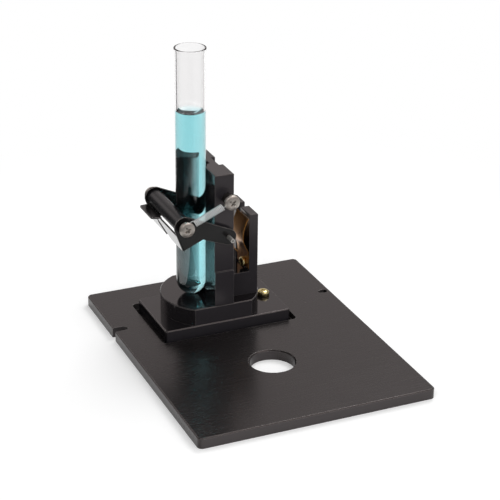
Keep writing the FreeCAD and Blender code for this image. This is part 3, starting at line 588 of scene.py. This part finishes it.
def blue_liquid():
    """Clear watery liquid that takes the red out of what passes through it."""
    material, tree, skin = new_material("Blue liquid")
    marks = effect(tree, "Handling", handling_group, Size=40.0)
    tint = blend_colour(tree, marks["Smudge"], (0.97, 0.995, 1.0), (0.95, 0.99, 1.0))
    wire(tree, tint, skin.inputs["Base Color"])
    skin.inputs["Roughness"].default_value = 0.0
    skin.inputs["IOR"].default_value = WATER_IOR
    skin.inputs["Transmission Weight"].default_value = 1.0
    depth = tree.nodes.new("ShaderNodeVolumeAbsorption")
    depth.inputs["Color"].default_value = (*colours().liquid, 1.0)
    depth.inputs["Density"].default_value = LIQUID_DENSITY
    wire(tree, depth.outputs["Volume"], tree.nodes["Material Output"].inputs["Volume"])
    return material


class STATION_OT_plates(bpy.types.Operator):
    """Finish the base plate, the carrier and the pedestal"""

    bl_idname = "station.plates"
    bl_label = "Plates and pedestal"

    def execute(self, context):
        milled = drawn(x=0.05)
        plate = anodised("Base anodised", colours().plate, milled, gloss=0.25, y_face_light=1.0, edge_wear_and_light=0.8)
        dress("base_plate", plate)
        block = anodised("Carrier anodised", colours().block, milled, gloss=0.09, y_face_light=0.55, edge_wear_and_light=0.8)
        dress("carrier_plate", block)
        dress("pedestal", block)
        return {"FINISHED"}


class STATION_OT_blocks(bpy.types.Operator):
    """Finish the V-block and the rear bracket"""

    bl_idname = "station.blocks"
    bl_label = "V-block and bracket"

    def execute(self, context):
        block = anodised("Block anodised", colours().block, drawn(z=0.05), gloss=0.08, y_face_light=0.5, edge_wear_and_light=0.3)
        dress("upright_block", block)
        dress("rear_bracket", block)
        return {"FINISHED"}


class STATION_OT_lever(bpy.types.Operator):
    """Finish the folded clamp lever"""

    bl_idname = "station.lever"
    bl_label = "Clamp lever"

    def execute(self, context):
        dress("clamp_lever", lever_black())
        return {"FINISHED"}


class STATION_OT_roller(bpy.types.Operator):
    """Finish the roller, its spindle, the pivot pin and the pivot spacer"""

    bl_idname = "station.roller"
    bl_label = "Roller and pins"

    def execute(self, context):
        dress("roller", roller_black())
        steel = bare_metal("Pin steel", (0.66, 0.64, 0.61), drawn(y=0.1), 1800.0, smooth=0.24, rough=0.36,
                           tarnish=(0.50, 0.48, 0.45), bare=0.82)
        dress("roller_spindle", steel)
        dress("pivot_pin", steel)
        dress("frame_screws", steel)
        dress("pivot_spacer", nylon())
        return {"FINISHED"}


class STATION_OT_leaves(bpy.types.Operator):
    """Finish the two leaf springs"""

    bl_idname = "station.leaves"
    bl_label = "Leaf springs"

    def execute(self, context):
        strip = bare_metal("Leaf bronze", colours().bronze, drawn(z=0.08), 1300.0, smooth=0.20, rough=0.32,
                           tarnish=(0.36, 0.17, 0.045))
        dress("rear_leaf_spring", strip)
        dress("front_leaf_spring", strip)
        return {"FINISHED"}


def cross_cutter(radius, depth, top):
    """The four-winged driver shape that the recess is cut with."""
    wings = []
    for turn in (0, math.pi / 2):
        deselect()
        bpy.ops.mesh.primitive_cube_add(size=1, location=(0, 0, top - depth / 2), rotation=(0, 0, turn))
        wing = bpy.context.object
        wing.scale = (radius * RECESS_REACH, radius * RECESS_WIDTH, depth * 2)
        bpy.ops.object.transform_apply(location=False, rotation=False, scale=True)
        edit_points(wing, lambda point: point.z < 0)
        bpy.ops.transform.translate(value=(0, 0, depth / 2))
        bpy.ops.transform.resize(value=(0.35, 0.6, 1), center_override=(0, 0, 0))
        bpy.ops.object.mode_set(mode="OBJECT")
        wings.append(wing)
    return wings


def pan_head(name, diameter, height, shank, length):
    """A pan-head screw with a cross recess, built along +Z and seated at the origin."""
    radius = diameter / 2
    shoulder = HEAD_SHOULDER * height
    deselect()
    bpy.ops.mesh.primitive_cylinder_add(vertices=56, radius=radius, depth=shoulder, end_fill_type="NGON",
                                        location=(0, 0, shoulder / 2))
    head = bpy.context.object
    bpy.ops.object.transform_apply(location=True)
    edit_points(head, lambda point: point.z > shoulder * 0.9)
    reach = radius
    level = shoulder
    for step in range(1, DOME_STEPS + 1):
        angle = math.pi / 2 * step / (DOME_STEPS + 0.6)
        next_reach = radius * (HEAD_CROWN + (1 - HEAD_CROWN) * math.cos(angle))
        next_level = shoulder + (height - shoulder) * math.sin(angle)
        pull_ring(next_level - level, next_reach / reach, (0, 0, 0))
        reach = next_reach
        level = next_level
    bpy.ops.object.mode_set(mode="OBJECT")
    for wing in cross_cutter(radius, RECESS_DEPTH * height, level):
        apply_modifier(head, "BOOLEAN", operation="DIFFERENCE", object=wing, solver="EXACT")
        bpy.data.objects.remove(wing, do_unlink=True)
    deselect()
    bpy.ops.mesh.primitive_cylinder_add(vertices=32, radius=shank / 2, depth=length,
                                        location=(0, 0, -length / 2))
    stem = bpy.context.object
    apply_modifier(stem, "BEVEL", width=0.3 * MM, segments=2, limit_method="ANGLE")
    screw = join([head, stem])
    apply_modifier(screw, "BEVEL", width=0.07 * MM, segments=2, limit_method="ANGLE",
                   angle_limit=math.radians(38))
    settle(screw, name, 30)
    return screw


def side_screw(name, node, head_height, shank, length, turn):
    """A screw on the near side, its head where the solid's head stands."""
    lowest = low(node)
    spot = centre(node)
    screw = pan_head(name, high(node).x - lowest.x, head_height, shank, length)
    seat = (spot.x, lowest.y + head_height, spot.z)
    place(screw, seat, (0, -1, 0), (math.cos(turn), 0, math.sin(turn)))
    settle(screw, name, 30)
    return screw


def both_sides(near, node):
    """The near screw joined with its copy on the far side."""
    name = near.name
    far = copy_of(near)
    middle = centre(node)
    half_turn = Matrix.Rotation(math.pi, 4, "Z")
    far.matrix_world = Matrix.Translation(middle) @ half_turn @ Matrix.Translation(-middle)
    pair = join([near, far])
    settle(pair, name, 30)
    return pair


def swing_screw(name, node, head_height, shank):
    """The carrier's pivot screw, which stands up out of the carrier."""
    lowest = low(node)
    highest = high(node)
    spot = centre(node)
    seat = highest.z - head_height
    screw = pan_head(name, highest.x - lowest.x, head_height, shank, seat - lowest.z)
    place(screw, (spot.x, spot.y, seat), (0, 0, 1), (1, 0.35, 0))
    settle(screw, name, 30)
    return screw


def leaf_screw_pair(name, node, head_height, shank):
    """The two leaf springs' screws; the lower faces the block, the upper faces away from it."""
    halfway = centre(node).z
    points = [point.co for point in frame["nodes"][node].data.vertices]
    made = []
    lower = [point for point in points if point.z < halfway]
    upper = [point for point in points if point.z > halfway]
    for group, facing in ((lower, -1), (upper, 1)):
        across = [p.x * facing for p in group]
        heights = [p.z for p in group]
        sides = [p.y for p in group]
        diameter = max(heights) - min(heights)
        seat = max(across) - head_height
        screw = pan_head(name, diameter, head_height, shank, seat - min(across))
        at = (seat * facing, (max(sides) + min(sides)) / 2, (max(heights) + min(heights)) / 2)
        place(screw, at, (facing, 0, 0), (0, 1, 0.5))
        made.append(screw)
    pair = join(made)
    settle(pair, name, 30)
    return pair


class STATION_OT_screws(bpy.types.Operator):
    """Model the pan-head screws and finish their washers and sleeves"""

    bl_idname = "station.screws"
    bl_label = "Screws and washers"

    def execute(self, context):
        given = sizes()
        stainless = bare_metal("Turned stainless", colours().stainless, drawn(), 2400.0, smooth=0.34,
                               rough=0.42, tarnish=(0.52, 0.475, 0.43), bare=0.9)
        brass = bare_metal("Bright brass", colours().brass, drawn(), 2400.0, smooth=0.07, rough=0.15,
                           tarnish=(0.58, 0.50, 0.24))
        roller = side_screw("Pan_roller_screws", "roller_screws", given.head_height, SCREW_SHANK,
                            ROLLER_SCREW_LENGTH, turn=0.5)
        roller = both_sides(roller, "roller_screws")
        finish_piece(roller, stainless, "stainless", "lever", "roller_screws")
        anchor = side_screw("Pan_anchor_screw", "anchor_screw", given.head_height, SCREW_SHANK,
                            ANCHOR_SCREW_LENGTH, turn=0.85)
        finish_piece(anchor, stainless, "stainless", "carrier", "anchor_screw")
        for node in ("roller_washers", "anchor_washer"):
            dress(node, stainless)
        dull = bare_metal("Dull sleeve steel", (0.16, 0.15, 0.14), drawn(), 1800.0, smooth=0.36, rough=0.46,
                          tarnish=(0.12, 0.11, 0.10))
        for node in ("roller_bushes", "anchor_spacer"):
            dress(node, dull)
        pivot = swing_screw("Pan_carrier_pivot", "carrier_pivot_screw", given.pivot_head_height, SCREW_SHANK)
        finish_piece(pivot, brass, "brass", "base", "carrier_pivot_screw")
        leaves = leaf_screw_pair("Pan_leaf_screws", "leaf_screws", given.leaf_head_height, LEAF_SHANK)
        finish_piece(leaves, brass, "brass", "carrier", "leaf_screws")
        return {"FINISHED"}


def wound_spring(name, side_y):
    """The extension spring from its anchor to the near roller screw, its legs on the lever's side."""
    given = sizes()
    coil = (given.spring_diameter - given.spring_wire) / 2
    start = Vector((ANCHOR.x, side_y, ANCHOR.z))
    end = Vector((ROLLER.x, side_y, ROLLER.z))
    along = (end - start).normalized()
    margin = (high("anchor_spacer").x - low("anchor_spacer").x) / 2 + 0.15 * MM
    lead = math.atan(given.spring_bend / coil)
    first = margin + given.spring_leg + given.spring_bend
    length = (end - start).length - 2 * first
    sweep = 2 * math.pi * given.spring_turns - 2 * lead
    deselect()
    bpy.ops.mesh.primitive_circle_add(vertices=12, radius=given.spring_wire / 2, fill_type="NOTHING",
                                      location=(coil, 0, 0), rotation=(math.pi / 2, 0, 0))
    spring = bpy.context.object
    bpy.ops.object.transform_apply(location=True, rotation=True)
    spring.rotation_euler = (0, 0, lead)
    bpy.ops.object.transform_apply(rotation=True)
    apply_modifier(spring, "SCREW", axis="Z", angle=sweep, screw_offset=length, iterations=1,
                   steps=28 * given.spring_turns, render_steps=28 * given.spring_turns,
                   use_merge_vertices=False)
    for turn, base, sign in ((lead, 0.0, -1), (-lead, length, 1)):
        spring_leg(spring, coil, turn, base, sign, given)
    spring.location = (0, 0, 0)
    face_out(spring)
    place(spring, start + along * first, along, (0, 1, 0))
    settle(spring, name, 60)
    return spring


def spring_leg(spring, coil, turn, base, sign, given):
    """Turns the last coil's wire along the spring's axis and runs it out straight."""
    outward = Vector((math.cos(turn), math.sin(turn), 0))
    spot = outward * coil + Vector((0, 0, base))
    near = given.spring_wire * 0.55
    edit_points(spring, lambda point: (point - spot).length < near)
    hub = spot + Vector((0, 0, sign * given.spring_bend))
    bpy.ops.mesh.spin(steps=7, angle=math.pi / 2, center=hub, axis=outward)
    bpy.ops.mesh.extrude_region_move(TRANSFORM_OT_translate={"value": (0, 0, sign * given.spring_leg)})
    bpy.ops.mesh.edge_face_add()
    bpy.ops.object.mode_set(mode="OBJECT")


class STATION_OT_spring(bpy.types.Operator):
    """Wind the extension spring"""

    bl_idname = "station.spring"
    bl_label = "Extension spring"

    def execute(self, context):
        zinc = bare_metal("Zinc wire", colours().zinc, drawn(), 2600.0, smooth=0.14, rough=0.26,
                          tarnish=(0.80, 0.82, 0.82), bare=0.5)
        side_y = centre("extension_spring").y
        spring = wound_spring("Wound_spring", side_y)
        finish_piece(spring, zinc, "zinc_wire", None, "extension_spring")
        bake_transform(spring)
        return {"FINISHED"}


def round_bottom(radius, bottom):
    """The lower half of a ball, open at the top, on the tube's axis."""
    deselect()
    bpy.ops.mesh.primitive_uv_sphere_add(segments=80, ring_count=40, radius=radius,
                                         location=(TUBE_AXIS.x, TUBE_AXIS.y, bottom + radius))
    bowl = bpy.context.object
    bpy.ops.object.transform_apply(location=True)
    edit_points(bowl, lambda point: True)
    bpy.ops.mesh.bisect(plane_co=(TUBE_AXIS.x, TUBE_AXIS.y, bottom + radius), plane_no=(0, 0, 1),
                        clear_outer=True)
    bpy.ops.object.mode_set(mode="OBJECT")
    edge = bottom + radius - 1e-6
    edit_points(bowl, lambda point: point.z > edge)
    return bowl


class STATION_OT_tube(bpy.types.Operator):
    """Blow the glass test tube"""

    bl_idname = "station.tube"
    bl_label = "Test tube"

    def execute(self, context):
        given = sizes()
        radius = given.tube_diameter / 2
        bottom = low("test_tube").z
        top = high("test_tube").z
        tube = round_bottom(radius, bottom)
        axis = (TUBE_AXIS.x, TUBE_AXIS.y, 0)
        pull_ring(top - bottom - radius - RIM_HEIGHT, 1.0, axis)
        reach = radius
        flares = (0.25, 0.6, 0.85, 1.0)
        for share in flares:
            next_reach = radius + given.rim_flare * share
            pull_ring(RIM_HEIGHT / len(flares), next_reach / reach, axis)
            reach = next_reach
        bpy.ops.object.mode_set(mode="OBJECT")
        face_out(tube)
        apply_modifier(tube, "SOLIDIFY", thickness=given.tube_wall, offset=-1, use_rim=True)
        edit_points(tube, lambda point: point.z > top - 0.02 * MM)
        bpy.ops.mesh.bevel(offset=RIM_ROUND, segments=4, affect="EDGES")
        bpy.ops.object.mode_set(mode="OBJECT")
        settle(tube, "Glass_tube", 50)
        finish_piece(tube, clear_glass(), "clear_glass", "tube", "test_tube")
        return {"FINISHED"}


class STATION_OT_liquid(bpy.types.Operator):
    """Fill the tube with the blue liquid"""

    bl_idname = "station.liquid"
    bl_label = "Liquid"

    def execute(self, context):
        given = sizes()
        radius = given.tube_diameter / 2 - given.tube_wall + WETTING
        bottom = low("test_tube").z + given.tube_wall - WETTING
        level = high("tube_liquid").z + given.liquid_lift
        liquid = round_bottom(radius, bottom)
        axis = (TUBE_AXIS.x, TUBE_AXIS.y, 0)
        height = level + given.meniscus
        pull_ring(height - bottom - radius, 1.0, axis)
        reach = 1.0
        for next_reach in (0.98, 0.94, 0.89, 0.83, 0.76, 0.68, 0.58, 0.45, 0.30, 0.15):
            climb = math.exp((next_reach - 1) * radius / given.meniscus_reach)
            next_height = level + given.meniscus * climb
            pull_ring(next_height - height, next_reach / reach, axis)
            reach = next_reach
            height = next_height
        bpy.ops.mesh.extrude_region_move(TRANSFORM_OT_translate={"value": (0, 0, 0)})
        bpy.ops.mesh.merge(type="CENTER")
        bpy.ops.object.mode_set(mode="OBJECT")
        face_out(liquid)
        settle(liquid, "Blue_liquid", 60)
        finish_piece(liquid, blue_liquid(), "blue_liquid", "tube", "tube_liquid")
        return {"FINISHED"}


# Stage

CAMERA_AT = Vector((-350.75, -789.42, 461.67)) * MM
CAMERA_AIM = Vector((-1.035, 2.405, 63.85)) * MM
CAMERA_ROLL = 0.647
CAMERA_LENS = 118.04
LAMP_AIM = Vector((0, 0, 70)) * MM

# Walls as mirrors see them, as shares of white: a dim level, and a paler band round them
WALL_LEVEL = 0.07
WALL_TINT = (1.0, 0.92, 0.91)
BAND_RISE = 0.36
BAND_LEVEL = 0.30
BAND_FADE = (0.40, 0.10)

# Soft light all round, stronger from the front and the right
AMBIENT_LEVEL = 0.72
AMBIENT_LEAN = (0.25, -0.55, 0.0)

# Cards that mirrors show: towards each, the angle it is full within, the angle it is gone at, its strength
CARDS = (((0.24, 0.92, 0.37), 6, 27, 0.35),
         ((-0.37, 0.83, 0.42), 5, 18, 0.7),
         ((0.25, 0.10, 1.0), 12, 48, 0.55),
         ((0.37, -0.42, 0.83), 8, 32, 1.6))

# The table: how far from the middle its shadowed part goes over to white, the share of its own glow there,
# and how mirrors see it, with the reaches in metres and the sector behind the tube as a cosine
WHITE_FROM = (0.16, 0.36)
FLOOR_LIFT = 0.2
POOL_EDGE = (0.14, 0.21)
POOL_DIM = 0.06
POOL_RIGHT = 0.38
RIGHT_EDGE = (-0.04, 0.04)
BEHIND_EDGE = (0.72, 0.80)


def seen_straight(tree, path):
    """1 for what the camera sees itself or through glass alone, and 0 for other light."""
    unmirrored = math_node(tree, "LESS_THAN", path.outputs["Glossy Depth"], 0.5)
    through = math_node(tree, "MULTIPLY", path.outputs["Is Transmission Ray"], unmirrored)
    return math_node(tree, "MAXIMUM", path.outputs["Is Camera Ray"], through)


def seen_in_mirror(tree, path, straight):
    """1 for what a shiny face shows; light through glass counts as glossy too, so it is left out."""
    indirect = math_node(tree, "SUBTRACT", 1.0, straight)
    return math_node(tree, "MULTIPLY", path.outputs["Is Glossy Ray"], indirect)


def smooth_step(tree, value, start, end):
    fade = tree.nodes.new("ShaderNodeMapRange")
    fade.interpolation_type = "SMOOTHSTEP"
    fade.inputs["From Min"].default_value = start
    fade.inputs["From Max"].default_value = end
    wire(tree, value, fade.inputs["Value"])
    return fade.outputs["Result"]


def along(tree, vector, towards):
    """How far the vector reaches in one direction."""
    dot = tree.nodes.new("ShaderNodeVectorMath")
    dot.operation = "DOT_PRODUCT"
    dot.inputs[1].default_value = towards
    wire(tree, vector, dot.inputs[0])
    return dot.outputs["Value"]


def from_middle(tree, place_on_floor):
    reach = tree.nodes.new("ShaderNodeVectorMath")
    reach.operation = "LENGTH"
    wire(tree, place_on_floor, reach.inputs[0])
    return reach.outputs["Value"]


def floor_behind(tree, place_on_floor):
    """1 on the table behind the tube as the camera stands, and 0 off to the sides and in front."""
    offset = tree.nodes.new("ShaderNodeVectorMath")
    offset.operation = "SUBTRACT"
    offset.inputs[1].default_value = TUBE_AXIS
    wire(tree, place_on_floor, offset.inputs[0])
    heading = tree.nodes.new("ShaderNodeVectorMath")
    heading.operation = "NORMALIZE"
    wire(tree, offset.outputs["Vector"], heading.inputs[0])
    view = CAMERA_AIM - CAMERA_AT
    view.z = 0
    return smooth_step(tree, along(tree, heading.outputs["Vector"], view.normalized()), *BEHIND_EDGE)


def light_pool(tree, place_on_floor):
    """1 close round the object and behind it, less in front of it to the right, and 0 to its left."""
    full, gone = POOL_EDGE
    close = smooth_step(tree, from_middle(tree, place_on_floor), gone, full)
    behind = floor_behind(tree, place_on_floor)
    right = smooth_step(tree, along(tree, place_on_floor, (1, 0, 0)), *RIGHT_EDGE)
    right = math_node(tree, "MULTIPLY", right, POOL_RIGHT)
    return math_node(tree, "MAXIMUM", math_node(tree, "MAXIMUM", close, behind), right)


def floor_material():
    """Pale table: white to the eye, and as mirrors see it a pool of light that falls off in front."""
    material, tree, skin = new_material("Pale floor")
    pale = Vector(colours().floor)
    coordinate = tree.nodes.new("ShaderNodeTexCoord")
    path = tree.nodes.new("ShaderNodeLightPath")
    cloud = noise(tree, coordinate.outputs["Object"], 6.0, 2.0)
    table = blend_colour(tree, cloud, pale, pale * 0.99)
    far = smooth_step(tree, from_middle(tree, coordinate.outputs["Object"]), *WHITE_FROM)
    pool = light_pool(tree, coordinate.outputs["Object"])
    straight = seen_straight(tree, path)
    mirror = seen_in_mirror(tree, path, straight)
    bare = blend_colour(tree, math_node(tree, "MULTIPLY", straight, far), table, (0, 0, 0))
    mirrored = blend_colour(tree, pool, pale * POOL_DIM, pale)
    wire(tree, blend_colour(tree, mirror, bare, mirrored), skin.inputs["Base Color"])
    skin.inputs["Roughness"].default_value = 0.9
    skin.inputs["Specular IOR Level"].default_value = 0.0
    skin.inputs["Emission Color"].default_value = (1, 1, 1, 1)
    white = math_node(tree, "MULTIPLY", straight, spread(tree, far, 0.0, 1.0, FLOOR_LIFT, 1.0))
    glow = math_node(tree, "MULTIPLY", mirror, pool)
    lift = math_node(tree, "MAXIMUM", white, math_node(tree, "MULTIPLY", glow, FLOOR_LIFT))
    wire(tree, lift, skin.inputs["Emission Strength"])
    return material


def soft_card(tree, direction, towards, inner, outer, strength):
    """A pale card hung round the set, as mirrors of it see it: full inside one angle, gone past another."""
    facing = along(tree, direction, Vector(towards).normalized())
    fade = smooth_step(tree, facing, math.cos(math.radians(outer)), math.cos(math.radians(inner)))
    return math_node(tree, "MULTIPLY", fade, strength)


def studio_world():
    """White to the eye and through glass; mirrors see dim walls with pale cards; the rest is soft light."""
    world = bpy.data.worlds.new("Studio")
    bpy.context.scene.world = world
    world.use_nodes = True
    tree = world.node_tree
    sky = tree.nodes["Background"]
    path = tree.nodes.new("ShaderNodeLightPath")
    direction = tree.nodes.new("ShaderNodeTexCoord").outputs["Generated"]
    rise = along(tree, direction, (0, 0, 1))
    off_band = math_node(tree, "ABSOLUTE", math_node(tree, "SUBTRACT", rise, BAND_RISE), 0.0)
    band = math_node(tree, "MULTIPLY", smooth_step(tree, off_band, *BAND_FADE), BAND_LEVEL)
    mirrored = math_node(tree, "ADD", band, WALL_LEVEL)
    for towards, inner, outer, strength in CARDS:
        card = soft_card(tree, direction, towards, inner, outer, strength)
        mirrored = math_node(tree, "ADD", card, mirrored)
    level = tree.nodes.new("ShaderNodeMix")
    straight = seen_straight(tree, path)
    mirror = seen_in_mirror(tree, path, straight)
    wire(tree, mirror, level.inputs["Factor"])
    lean = math_node(tree, "ADD", along(tree, direction, AMBIENT_LEAN), 1.0)
    wire(tree, math_node(tree, "MULTIPLY", lean, AMBIENT_LEVEL), level.inputs["A"])
    wire(tree, mirrored, level.inputs["B"])
    wire(tree, blend_colour(tree, mirror, (1, 1, 1), WALL_TINT), sky.inputs["Color"])
    wire(tree, math_node(tree, "MAXIMUM", level.outputs["Result"], straight), sky.inputs["Strength"])


def soft_lamp(name, at, size, power):
    """A square panel lamp that looks at the middle of the clamp."""
    bpy.ops.object.light_add(type="AREA", location=at)
    lamp = bpy.context.object
    lamp.name = name
    lamp.data.shape = "RECTANGLE"
    lamp.data.size = size
    lamp.data.size_y = size
    lamp.data.energy = power
    lamp.rotation_euler = (LAMP_AIM - Vector(at)).to_track_quat("-Z", "Y").to_euler()


class STATION_OT_stage(bpy.types.Operator):
    """Set the floor, the light and the camera"""

    bl_idname = "station.stage"
    bl_label = "Stage"

    def execute(self, context):
        deselect()
        bpy.ops.mesh.primitive_plane_add(size=8.0, location=(0, 0, -0.02 * MM))
        floor = bpy.context.object
        floor.name = "Floor"
        floor.data.materials.append(floor_material())
        studio_world()
        soft_lamp("Key", at=(0.75, 0.65, 1.25), size=0.6, power=7.0)
        soft_lamp("Fill", at=(-0.9, -0.7, 1.2), size=0.4, power=3.0)
        bpy.ops.object.camera_add(location=CAMERA_AT)
        camera = bpy.context.object
        look = (CAMERA_AIM - CAMERA_AT).to_track_quat("-Z", "Y").to_matrix()
        roll = Matrix.Rotation(math.radians(CAMERA_ROLL), 3, "Z")
        camera.rotation_euler = (look @ roll).to_euler()
        camera.data.lens = CAMERA_LENS
        camera.data.sensor_width = 36.0
        camera.data.clip_end = 50.0
        context.scene.camera = camera
        context.scene.view_settings.view_transform = "Standard"
        return {"FINISHED"}


class STATION_PT_panel(bpy.types.Panel):
    """Lists the station's pieces in the order they are made"""

    bl_idname = "STATION_PT_panel"
    bl_label = "Tube station"
    bl_space_type = "VIEW_3D"
    bl_region_type = "UI"
    bl_category = "Tube station"

    def draw(self, context):
        for operator in OPERATORS:
            self.layout.operator(operator.bl_idname)
        for group in (context.scene.station_sizes, context.scene.station_colours):
            for name in group.__annotations__:
                self.layout.prop(group, name)


OPERATORS = (STATION_OT_plates, STATION_OT_blocks, STATION_OT_lever, STATION_OT_roller, STATION_OT_leaves,
             STATION_OT_screws, STATION_OT_spring, STATION_OT_tube, STATION_OT_liquid, STATION_OT_stage)
CLASSES = (StationSizes, StationColours) + OPERATORS + (STATION_PT_panel,)


def register():
    for item in CLASSES:
        bpy.utils.register_class(item)
    bpy.types.Scene.station_sizes = PointerProperty(type=StationSizes)
    bpy.types.Scene.station_colours = PointerProperty(type=StationColours)


def unregister():
    del bpy.types.Scene.station_sizes
    del bpy.types.Scene.station_colours
    for item in reversed(CLASSES):
        bpy.utils.unregister_class(item)


def main():
    register()
    for operator in OPERATORS:
        group, name = operator.bl_idname.split(".")
        getattr(getattr(bpy.ops, group), name)()


if __name__ == "__main__":
    main()
